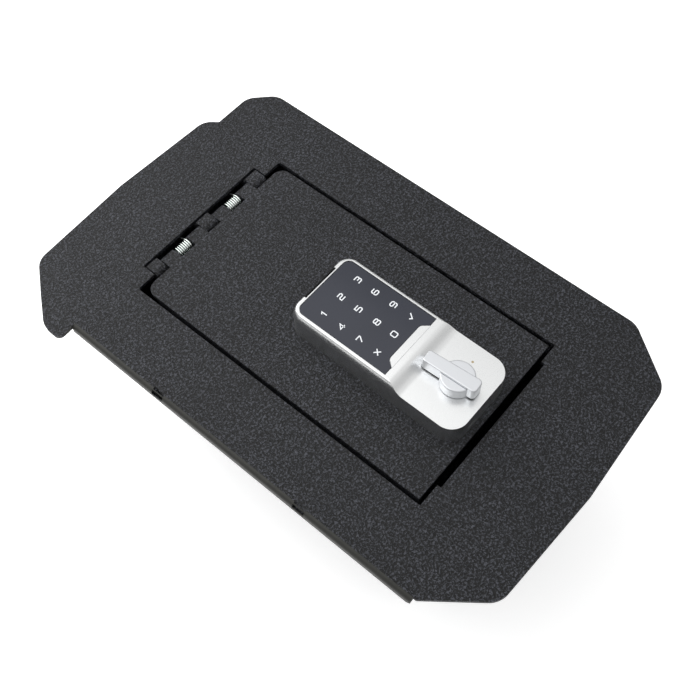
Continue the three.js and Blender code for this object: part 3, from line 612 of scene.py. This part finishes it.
def makeHousing():
    x, y, wall = housing["x"], housing["knobY"], inside["wall"]
    hole, edge, sides = housing["spindleHole"], sleeve["edge"], sleeve["sides"]
    bosses, bores = [[circlePoints(x + dx, dy, inside[size], inside["bossSides"])
                      for dx, dy in fixings["places"]] for size in ("bossRadius", "boreRadius")]
    posts = [prism("boss", boss, inside["bossFoot"], above) for boss in bosses]
    posts.append(prism("sleevePost", circlePoints(x, y, sleeve["radius"], sides), inside["sleeveFoot"], above))
    deckRoom = prism("deckRoom", roomOutline(housing["front"] + wall, housing["frontRadius"] - wall),
                     inside["deckFoot"], inside["deckTop"])
    keypadRoom = prism("keypadRoom", roomOutline(inside["keypadFront"], inside["corner"]),
                       inside["keypadFoot"], inside["keypadTop"])
    rooms = [cutMesh(deckRoom, posts), cutMesh(keypadRoom, posts)]
    lip = housing["roundAcross"]
    rim = prism("rimLine", lipOutline(lip), housing["keypad"] - trims["lineDeep"], above)
    rimInside = prism("rimInside", lipOutline(lip + trims["line"]), trims["lineFoot"], wellAbove)
    seam = boxPoints(x - trims["seamReach"], x + trims["seamReach"], *trims["seam"])
    socket = boxPoints(*[x + side for side in trims["socketAcross"]],
                       *[housing["front"] + deep for deep in trims["socketDeep"]])
    notch = boxPoints(x - trims["capHalf"], x + trims["capHalf"], trims["capFront"], trims["capRear"])
    cutters = [
        *rooms, cutMesh(rim, [rimInside]),
        prism("pocket", glassOutline(glass["gap"]), glass["bottom"], above),
        prism("seam", seam, housing["keypad"] - trims["seamDeep"], above),
        prism("spindleHole", circlePoints(x, y, hole), below, above),
        prism("socket", socket, *trims["socketHigh"]),
        prism("capNotch", notch, trims["capBottom"], above),
        *[prism("bore", bore, inside["boreFoot"], inside["boreTop"]) for bore in bores],
    ]
    mesh = cutMesh(buildHousingMesh(), cutters)
    work = bmesh.new()
    work.from_mesh(mesh)
    walls = ((sleeve["radius"], sleeve["top"]), (sleeve["radius"], sleeve["wallEnd"]),
             (sleeve["radius"] - edge, sleeve["end"]), (hole + edge, sleeve["end"]),
             (hole, sleeve["wallEnd"]), (hole, sleeve["top"]))
    rings = [ring(work, circlePoints(x, y, radius, sides), z) for radius, z in walls]
    joinRings(work, rings + rings[:1])
    work.normal_update()
    bmesh.ops.recalc_face_normals(work, faces=work.faces)
    work.to_mesh(mesh)
    work.free()
    shadeSmooth(mesh, sharpFrom=30)
    piece = newPiece("satinHousing", mesh, satinHousingMetal, "door", "satin_silver", "lock_housing")
    softenEdges(piece, housing["edge"], angle=40)


def makeGlass():
    mesh = prism("glassSheet", glassOutline(0), glass["bottom"], glass["bottom"] + glass["thickness"])
    shadeSmooth(mesh, sharpFrom=30)
    piece = newPiece("printedPanel", mesh, panelPrint, "door", "dark_glass", "keypad_glass")
    softenEdges(piece, glass["edge"], segments=3, angle=40)


# Battery cap: a moulded door in the lock's rear end that follows the housing's rounded edge
cap = {"half": 13.7, "front": 36.0, "bottom": 2.8, "top": 20.7, "recess": 0.25, "steps": 12, "edge": 0.2}


def makeCap():
    foot, rear = housing["keypad"] - housing["roundDown"], housing["rear"] - cap["recess"]
    profile = [(cap["front"], cap["bottom"]), (rear, cap["bottom"])]
    for step in range(cap["steps"] + 1):
        z = foot + (cap["top"] - foot) * step / cap["steps"]
        profile.append((rear - roundInset(0, z), z))
    profile.append((cap["front"], cap["top"]))
    work = bmesh.new()
    stackRings(work, [[work.verts.new(at(housing["x"] + side, y, z)) for y, z in profile]
                      for side in (-cap["half"], cap["half"])])
    mesh = closeWork(work, "capBody")
    shadeSmooth(mesh, sharpFrom=30)
    piece = newPiece("mouldedCap", mesh, mouldedAbs, "door", "black_plastic", "battery_cap")
    softenEdges(piece, cap["edge"], angle=40)


makeHousing()
makeGlass()
makeCap()
print("lock housing, panel and cap made")


# Keypad signs: ribbons of ink along the strokes of plain figures, a cross and a tick. Each stroke has its
# points, and whether it closes on itself.
signs = {
    "columns": (0.1, 15.9, 31.7), "rows": (20.0, 6.3, -7.9, -21.1), "layout": ("123", "456", "789", "x0v"),
    "stroke": 0.72, "film": 0.03, "layer": 0.004,
}
deckDot = {"x": 32.7, "y": -66.7, "radius": 0.8, "sides": 24}
strokes = {
    "0": [([(-1.1, -1.9), (1.1, -1.9), (1.7, -1.3), (1.7, 1.3),
            (1.1, 1.9), (-1.1, 1.9), (-1.7, 1.3), (-1.7, -1.3)], True)],
    "1": [([(-1.1, 1.0), (0.3, 1.9), (0.3, -1.9)], False)],
    "2": [([(-1.7, 1.9), (1.1, 1.9), (1.7, 1.4), (1.7, 0.5), (1.1, 0.0),
            (-1.1, 0.0), (-1.7, -0.5), (-1.7, -1.9), (1.7, -1.9)], False)],
    "3": [([(-1.6, 1.9), (1.1, 1.9), (1.7, 1.4), (1.7, 0.5), (1.1, 0.0),
            (1.7, -0.5), (1.7, -1.4), (1.1, -1.9), (-1.6, -1.9)], False),
          ([(-0.7, 0.0), (1.1, 0.0)], False)],
    "4": [([(0.8, -1.9), (0.8, 1.9), (-1.8, -0.8), (1.9, -0.8)], False)],
    "5": [([(1.7, 1.9), (-1.7, 1.9), (-1.7, 0.2), (1.1, 0.2),
            (1.7, -0.3), (1.7, -1.4), (1.1, -1.9), (-1.7, -1.9)], False)],
    "6": [([(1.4, 1.9), (-1.1, 1.9), (-1.7, 1.3), (-1.7, -1.3), (-1.1, -1.9),
            (1.1, -1.9), (1.7, -1.4), (1.7, -0.4), (1.1, 0.1), (-1.7, 0.1)], False)],
    "7": [([(-1.7, 1.9), (1.7, 1.9), (1.7, 1.2), (-0.5, -1.9)], False)],
    "8": [([(-1.0, 0.1), (1.0, 0.1), (1.6, 0.6), (1.6, 1.4),
            (1.0, 1.9), (-1.0, 1.9), (-1.6, 1.4), (-1.6, 0.6)], True),
          ([(-1.1, 0.1), (-1.7, -0.4), (-1.7, -1.4), (-1.1, -1.9),
            (1.1, -1.9), (1.7, -1.4), (1.7, -0.4), (1.1, 0.1)], True)],
    "x": [([(-1.6, -1.6), (1.6, 1.6)], False), ([(-1.6, 1.6), (1.6, -1.6)], False)],
    "v": [([(-1.9, -0.2), (-0.6, -1.6), (1.9, 1.7)], False)],
}
strokes["9"] = [([(-x, -y) for x, y in path], closed) for path, closed in strokes["6"]]


def ribbon(work, path, closed, centre, width, bottom, top):
    points = [Vector(p) for p in path]
    count = len(points)
    rows = []
    for i, point in enumerate(points):
        before = points[i - 1] if closed or i else None
        after = points[(i + 1) % count] if closed or i < count - 1 else None
        a = (point - before).normalized() if before is not None else None
        b = (after - point).normalized() if after is not None else None
        a, b = a or b, b or a
        side = Vector((-(a + b).y, (a + b).x)).normalized()
        reach = width / 2 / max(side.dot(Vector((-a.y, a.x))), 0.5)  # no corner runs out past twice the width
        rows.append([work.verts.new(at(centre[0] + q.x, centre[1] + q.y, z))
                     for q in (point + side * reach, point - side * reach) for z in (top, bottom)])
    for i in range(count if closed else count - 1):
        r, s = rows[i], rows[(i + 1) % count]
        for a, b in ((0, 2), (3, 1), (1, 0), (2, 3)):
            work.faces.new((r[a], s[a], s[b], r[b]))
    if not closed:
        for end, order in ((rows[0], (0, 2, 3, 1)), (rows[-1], (1, 3, 2, 0))):
            work.faces.new([end[k] for k in order])


def makeSigns():
    work = bmesh.new()
    base = glass["bottom"] + glass["thickness"]
    for y, line in zip(signs["rows"], signs["layout"]):
        for x, sign in zip(signs["columns"], line):
            for layer, (path, closed) in enumerate(strokes[sign]):
                top = base + signs["film"] + signs["layer"] * layer
                ribbon(work, path, closed, (x, y), signs["stroke"], base, top)
    newPiece("keypadSigns", closeWork(work, "signFilm"), whiteInk, "door", "dark_glass")
    outline = circlePoints(deckDot["x"], deckDot["y"], deckDot["radius"], deckDot["sides"])
    dot = prism("dotFilm", outline, housing["deck"], housing["deck"] + signs["film"])
    newPiece("deckDot", dot, tanInk, "door", "satin_silver")


makeSigns()
print("keypad signs made")


# Knob: turned disc with a rolled edge, and the grip bar let across it
knob = {
    "radius": 10.5, "bottom": 17.0, "top": 25.6, "edge": 0.9, "edgeSteps": 6, "ease": 0.3, "sides": 96,
    "x": 15.7, "y": -67.8, "line": 0.16, "lineDeep": 0.7,
}
gripBar = {
    "front": 14.2, "rear": 22.2, "frontWidth": 9.6, "rearWidth": 8.1, "frontCorner": 2.6, "rearCorner": 1.4,
    "bottom": 18.0, "top": 27.3, "edge": 0.7, "edgeSteps": 5, "ease": 0.35, "leastCorner": 0.3,
    "cornerShrink": 0.8, "turn": 3.6,
}


def barOutline(inset):
    wide, narrow = gripBar["frontWidth"] / 2 - inset, gripBar["rearWidth"] / 2 - inset
    front, rear = inset - gripBar["front"], gripBar["rear"] - inset
    frontCorner, rearCorner = [max(gripBar[end] - inset * gripBar["cornerShrink"], gripBar["leastCorner"])
                               for end in ("frontCorner", "rearCorner")]
    plan = plateOutline([(-wide, front, frontCorner), (wide, front, frontCorner),
                         (narrow, rear, rearCorner), (-narrow, rear, rearCorner)])
    turn = Matrix.Rotation(math.radians(gripBar["turn"]), 2)
    return [turn @ point + Vector((knob["x"], knob["y"])) for point in plan]


def makeKnob():
    turned = bmesh.new()
    radius, top, ease = knob["radius"], knob["top"], knob["ease"]
    profile = [(radius - ease, knob["bottom"]), (radius, knob["bottom"] + ease)]
    profile += [(radius - across, top - down) for across, down in quarterRound(knob["edge"], knob["edgeSteps"])]
    stackRings(turned, [ring(turned, circlePoints(knob["x"], knob["y"], size, knob["sides"]), z)
                        for size, z in profile])
    channel = prism("barSlot", barOutline(-knob["line"]), top - knob["lineDeep"], wellAbove)
    mesh = cutMesh(closeWork(turned, "knobDisc"), [channel])
    work = bmesh.new()
    work.from_mesh(mesh)
    levels = [(gripBar["ease"], gripBar["bottom"]), (0.0, gripBar["bottom"] + gripBar["ease"])]
    levels += [(across, gripBar["top"] - down)
               for across, down in quarterRound(gripBar["edge"], gripBar["edgeSteps"])]
    stackRings(work, [ring(work, barOutline(inset), z) for inset, z in levels])
    bmesh.ops.recalc_face_normals(work, faces=work.faces)
    work.to_mesh(mesh)
    work.free()
    shadeSmooth(mesh)
    evenShading(newPiece("satinKnob", mesh, satinKnobMetal, "knob", "satin_silver", "knob"))


makeKnob()
print("knob made")


# Geometry Nodes helpers: a tree starts with its named inputs and ends in real geometry with its material

def startTree(name, sockets):
    tree = bpy.data.node_groups.new(name, "GeometryNodeTree")
    for socket, kind in sockets.items():
        tree.interface.new_socket(socket, in_out="INPUT", socket_type="NodeSocket" + kind)
    tree.interface.new_socket("Geometry", in_out="OUTPUT", socket_type="NodeSocketGeometry")
    return tree, node(tree, "NodeGroupInput").outputs


def endTree(tree, geometry, finish):
    real = node(tree, "GeometryNodeRealizeInstances", {"Geometry": geometry})
    coloured = node(tree, "GeometryNodeSetMaterial",
                    {"Geometry": real.outputs["Geometry"], "Material": finish})
    node(tree, "NodeGroupOutput", {"Geometry": coloured.outputs["Geometry"]})
    return tree


def runTree(name, mesh, tree, values):
    holder = bpy.data.objects.new(name, mesh)
    scene.collection.objects.link(holder)
    step = holder.modifiers.new("grow", "NODES")
    step.node_group = tree
    for socket in tree.interface.items_tree:
        if socket.in_out == "INPUT" and socket.name in values:
            step[socket.identifier] = values[socket.name]
    bpy.context.view_layer.update()
    made = bpy.data.meshes.new_from_object(holder.evaluated_get(bpy.context.evaluated_depsgraph_get()))
    holder.modifiers.remove(step)
    bpy.data.objects.remove(holder)
    return made


# Torsion springs: a wire swept along its wound path. Each starts in a short hook and ends in a straight leg.
spring = {
    "wire": 1.1, "radius": 4.0, "turns": 6.4, "stepsPerTurn": 32, "sides": 14, "legAngle": 66.0,
    "legPoints": (0.5, 1.1, 10.5), "hook": 1.4, "hookBend": 0.35, "pinY": 134.5, "pinZ": -4.7,
    "spans": {"woundSpringA": (-15.1, -4.1), "woundSpringB": (31.9, 42.9)},
}


def buildWireTree():
    tree, given = startTree("sweepWire", {
        "Geometry": "Geometry", "Wire Radius": "Float", "Sides": "Int", "Finish": "Material"})
    section = node(tree, "GeometryNodeCurvePrimitiveCircle",
                   {"Radius": given["Wire Radius"], "Resolution": given["Sides"]})
    line = node(tree, "GeometryNodeMeshToCurve", {"Mesh": given["Geometry"]})
    swept = node(tree, "GeometryNodeCurveToMesh",
                 {"Curve": line.outputs["Curve"], "Profile Curve": section.outputs["Curve"]},
                 inputs={"Fill Caps": True})
    smooth = node(tree, "GeometryNodeSetShadeSmooth", {"Geometry": swept.outputs["Mesh"]})
    return endTree(tree, smooth.outputs["Geometry"], given["Finish"])


def springPath(span):
    half, radius = spring["wire"] / 2, spring["radius"]
    start, end = span[0] + half, span[1] - half
    last = math.radians(spring["legAngle"])
    steps = round(spring["turns"] * spring["stepsPerTurn"])
    points = []
    for i in range(steps + 1):
        share = i / steps
        a = last + (1 - share) * spring["turns"] * 2 * math.pi
        x, y, z = start + (end - start) * share, radius * math.cos(a), radius * math.sin(a)
        points.append(Vector((x, spring["pinY"] + y, spring["pinZ"] + z)))
    hook = [points[0] - Vector((out, 0, 0)) for out in (spring["hook"] - half, spring["hookBend"])]
    leg = Vector((0, math.sin(last), -math.cos(last)))
    return hook + points + [points[-1] + leg * reach for reach in spring["legPoints"]]


def windSprings():
    wireTree = buildWireTree()
    for number, (pieceName, span) in enumerate(spring["spans"].items(), 1):
        path = springPath(span)
        mesh = bpy.data.meshes.new("springPath")
        mesh.from_pydata([at(*p) for p in path], [(i, i + 1) for i in range(len(path) - 1)], [])
        wound = runTree("springWork", mesh, wireTree, {
            "Wire Radius": spring["wire"] / 2 / 1000, "Sides": spring["sides"], "Finish": zincPlate})
        newPiece(pieceName, wound, zincPlate, "box", "zinc_plate", f"hinge_spring_{number}")


windSprings()
print("springs wound:", len(spring["spans"]))


# Lock screws: one cross-head screw, set out on its bolt pattern. Its thread is drawn as plain grooves.
lockScrew = {
    "radius": 1.9, "headRadius": 3.6, "head": (-6.5, -4.2), "crown": ((1.2, 0.0), (0.35, 0.3), (0.0, 0.9)),
    "end": 8.0, "tip": 0.6, "neck": 0.4, "pitch": 0.7, "groove": 0.25, "sides": 32,
    "recess": 1.9, "recessWidth": 0.9, "recessDeep": 1.3, "recessOut": 1,
}


def buildScrewTree():
    tree, given = startTree("setOutScrews", {
        "Geometry": "Geometry", "Across": "Float", "Along": "Float", "Middle": "Vector", "Finish": "Material"})
    pattern = node(tree, "GeometryNodeMeshGrid", {"Size X": given["Across"], "Size Y": given["Along"]},
                   inputs={"Vertices X": 2, "Vertices Y": 2})
    corners = node(tree, "GeometryNodeMeshToPoints", {"Mesh": pattern.outputs["Mesh"]})
    placed = node(tree, "GeometryNodeSetPosition",
                  {"Geometry": corners.outputs["Points"], "Offset": given["Middle"]})
    screws = node(tree, "GeometryNodeInstanceOnPoints",
                  {"Points": placed.outputs["Geometry"], "Instance": given["Geometry"]})
    return endTree(tree, screws.outputs["Instances"], given["Finish"])


def turnScrew():
    low, seat = lockScrew["head"]
    head, shank, end, pitch = [lockScrew[key] for key in ("headRadius", "radius", "end", "pitch")]
    profile = [(head - across, low + up) for across, up in lockScrew["crown"]] + [(head, seat), (shank, seat)]
    z = seat + lockScrew["neck"]
    while z < end - 2 * pitch:
        profile += [(shank, z), (shank - lockScrew["groove"], z + pitch / 2)]
        z += pitch
    profile += [(shank, end - lockScrew["tip"]), (shank - lockScrew["tip"], end)]
    work = bmesh.new()
    stackRings(work, [[work.verts.new(Vector((*p, z)) / 1000)
                       for p in circlePoints(0, 0, radius, lockScrew["sides"])] for radius, z in profile])
    mesh = closeWork(work, "screwTurned")
    reach, half = lockScrew["recess"], lockScrew["recessWidth"] / 2
    start, floor = low - lockScrew["recessOut"], low + lockScrew["recessDeep"]
    arms = []
    for wide, deep in ((reach, half), (half, reach)):
        arm = prism("recessArm", boxPoints(-wide, wide, -deep, deep), start, floor)
        arm.transform(ontoOrigin)
        arms.append(arm)
    return cutMesh(mesh, arms)


def makeLockScrews():
    mesh = runTree("screwWork", turnScrew(), buildScrewTree(), {
        "Across": fixings["across"] / 1000, "Along": fixings["along"] / 1000,
        "Middle": at(housing["x"], fixings["middleY"], 0), "Finish": zincPlate})
    shadeSmooth(mesh)
    newPiece("platedLockScrews", mesh, zincPlate, "door", "zinc_plate",
             "lock_screw_1", "lock_screw_2", "lock_screw_3", "lock_screw_4")


makeLockScrews()
print("lock screws set out:", len(fixings["places"]))


# Floor, lamps, sky and camera. Their places are in metres in the frame, apart from the camera's.
studioFloor = {"half": 6.0, "drop": 0.0005, "colour": "#f4f4f4", "rough": 0.9, "glow": 0.46}


def makeFloor():
    half, z = studioFloor["half"], -studioFloor["drop"]
    mesh = bpy.data.meshes.new("floorSheet")
    mesh.from_pydata([(x, y, z) for x, y in boxPoints(-half, half, -half, half)], [], [(0, 1, 2, 3)])
    floor = bpy.data.objects.new("paleFloor", mesh)
    scene.collection.objects.link(floor)
    mesh.materials.append(startMaterial("paleStudioFloor", studioFloor["colour"], {
        "Metallic": 0.0, "Roughness": studioFloor["rough"], "Emission Strength": studioFloor["glow"]})[0])


makeFloor()

lamps = {
    "overhead": {"place": (-0.05, 0.35, 0.95), "aim": (-0.05, 0.35, 0.0), "size": 0.9, "watts": 1.26},
    "overRear": {"place": (0.0, 0.7, 0.95), "aim": (0.0, 0.7, 0.0), "size": 0.7, "watts": 3.9},
    "overLeft": {"place": (-0.4, 0.3, 0.8), "aim": (-0.1, 0.1, 0.14), "size": 0.6, "watts": 1.3},
    "overFront": {"place": (0.35, -0.35, 0.95), "aim": (0.35, -0.35, 0.0), "size": 0.6, "watts": 0.15},
    "rear": {"place": (0.0, 1.0, 0.5), "aim": (0.0, 0.0, 0.14), "size": 0.9, "watts": 4.2},
}
for name, values in lamps.items():
    light = bpy.data.lights.new(name, "AREA")
    light.size = values["size"]
    light.energy = values["watts"]
    lamp = bpy.data.objects.new(name, light)
    lamp.location = values["place"]
    beam = Vector(values["aim"]) - Vector(values["place"])
    lamp.rotation_euler = beam.to_track_quat("-Z", "Y").to_euler()
    scene.collection.objects.link(lamp)

# The sky is a soft white dome, greyer towards the horizon: how high a ray points, and how bright it is there
skyDome = {"stops": [(0.1, 0.4), (0.3, 0.8), (0.45, 0.82), (0.72, 1.0)], "strength": 0.8}
world = bpy.data.worlds.new("studio")
world.use_nodes = True
scene.world = world
sky = world.node_tree
around = node(sky, "ShaderNodeTexCoord").outputs["Generated"]
height = node(sky, "ShaderNodeSeparateXYZ", {"Vector": around}).outputs["Z"]
dome = node(sky, "ShaderNodeValToRGB", {"Fac": height}, stops=skyDome["stops"])
sky.links.new(dome.outputs["Color"], sky.nodes["Background"].inputs["Color"])
sky.nodes["Background"].inputs["Strength"].default_value = skyDome["strength"]

# The camera stands where the photograph's own did, worked out from the plate's corners. "down" is the
# direction that points down the picture.
view = {
    "place": (-219.2, -191.5, 518.9), "aim": (0.0, 0.0, 0.0), "down": (-0.6721, -0.5563, -0.4889),
    "lens": 50.1, "sensor": 36, "clip": (0.01, 20),
}


def makeCamera():
    data = bpy.data.cameras.new("photoCamera")
    data.lens = view["lens"]
    data.sensor_width = view["sensor"]
    data.clip_start, data.clip_end = view["clip"]
    camera = bpy.data.objects.new("photoCamera", data)
    scene.collection.objects.link(camera)
    place = at(*view["place"])
    back = (place - at(*view["aim"])).normalized()
    up = -Vector(view["down"])
    up = (up - back * up.dot(back)).normalized()
    right = up.cross(back)
    turn = Matrix((right, up, back)).transposed().to_4x4()
    camera.matrix_world = Matrix.Translation(place) @ turn
    scene.camera = camera


makeCamera()
scene.view_settings.view_transform = "Standard"
scene.view_settings.look = "None"
print("camera, light and floor set")

bpy.context.view_layer.update()
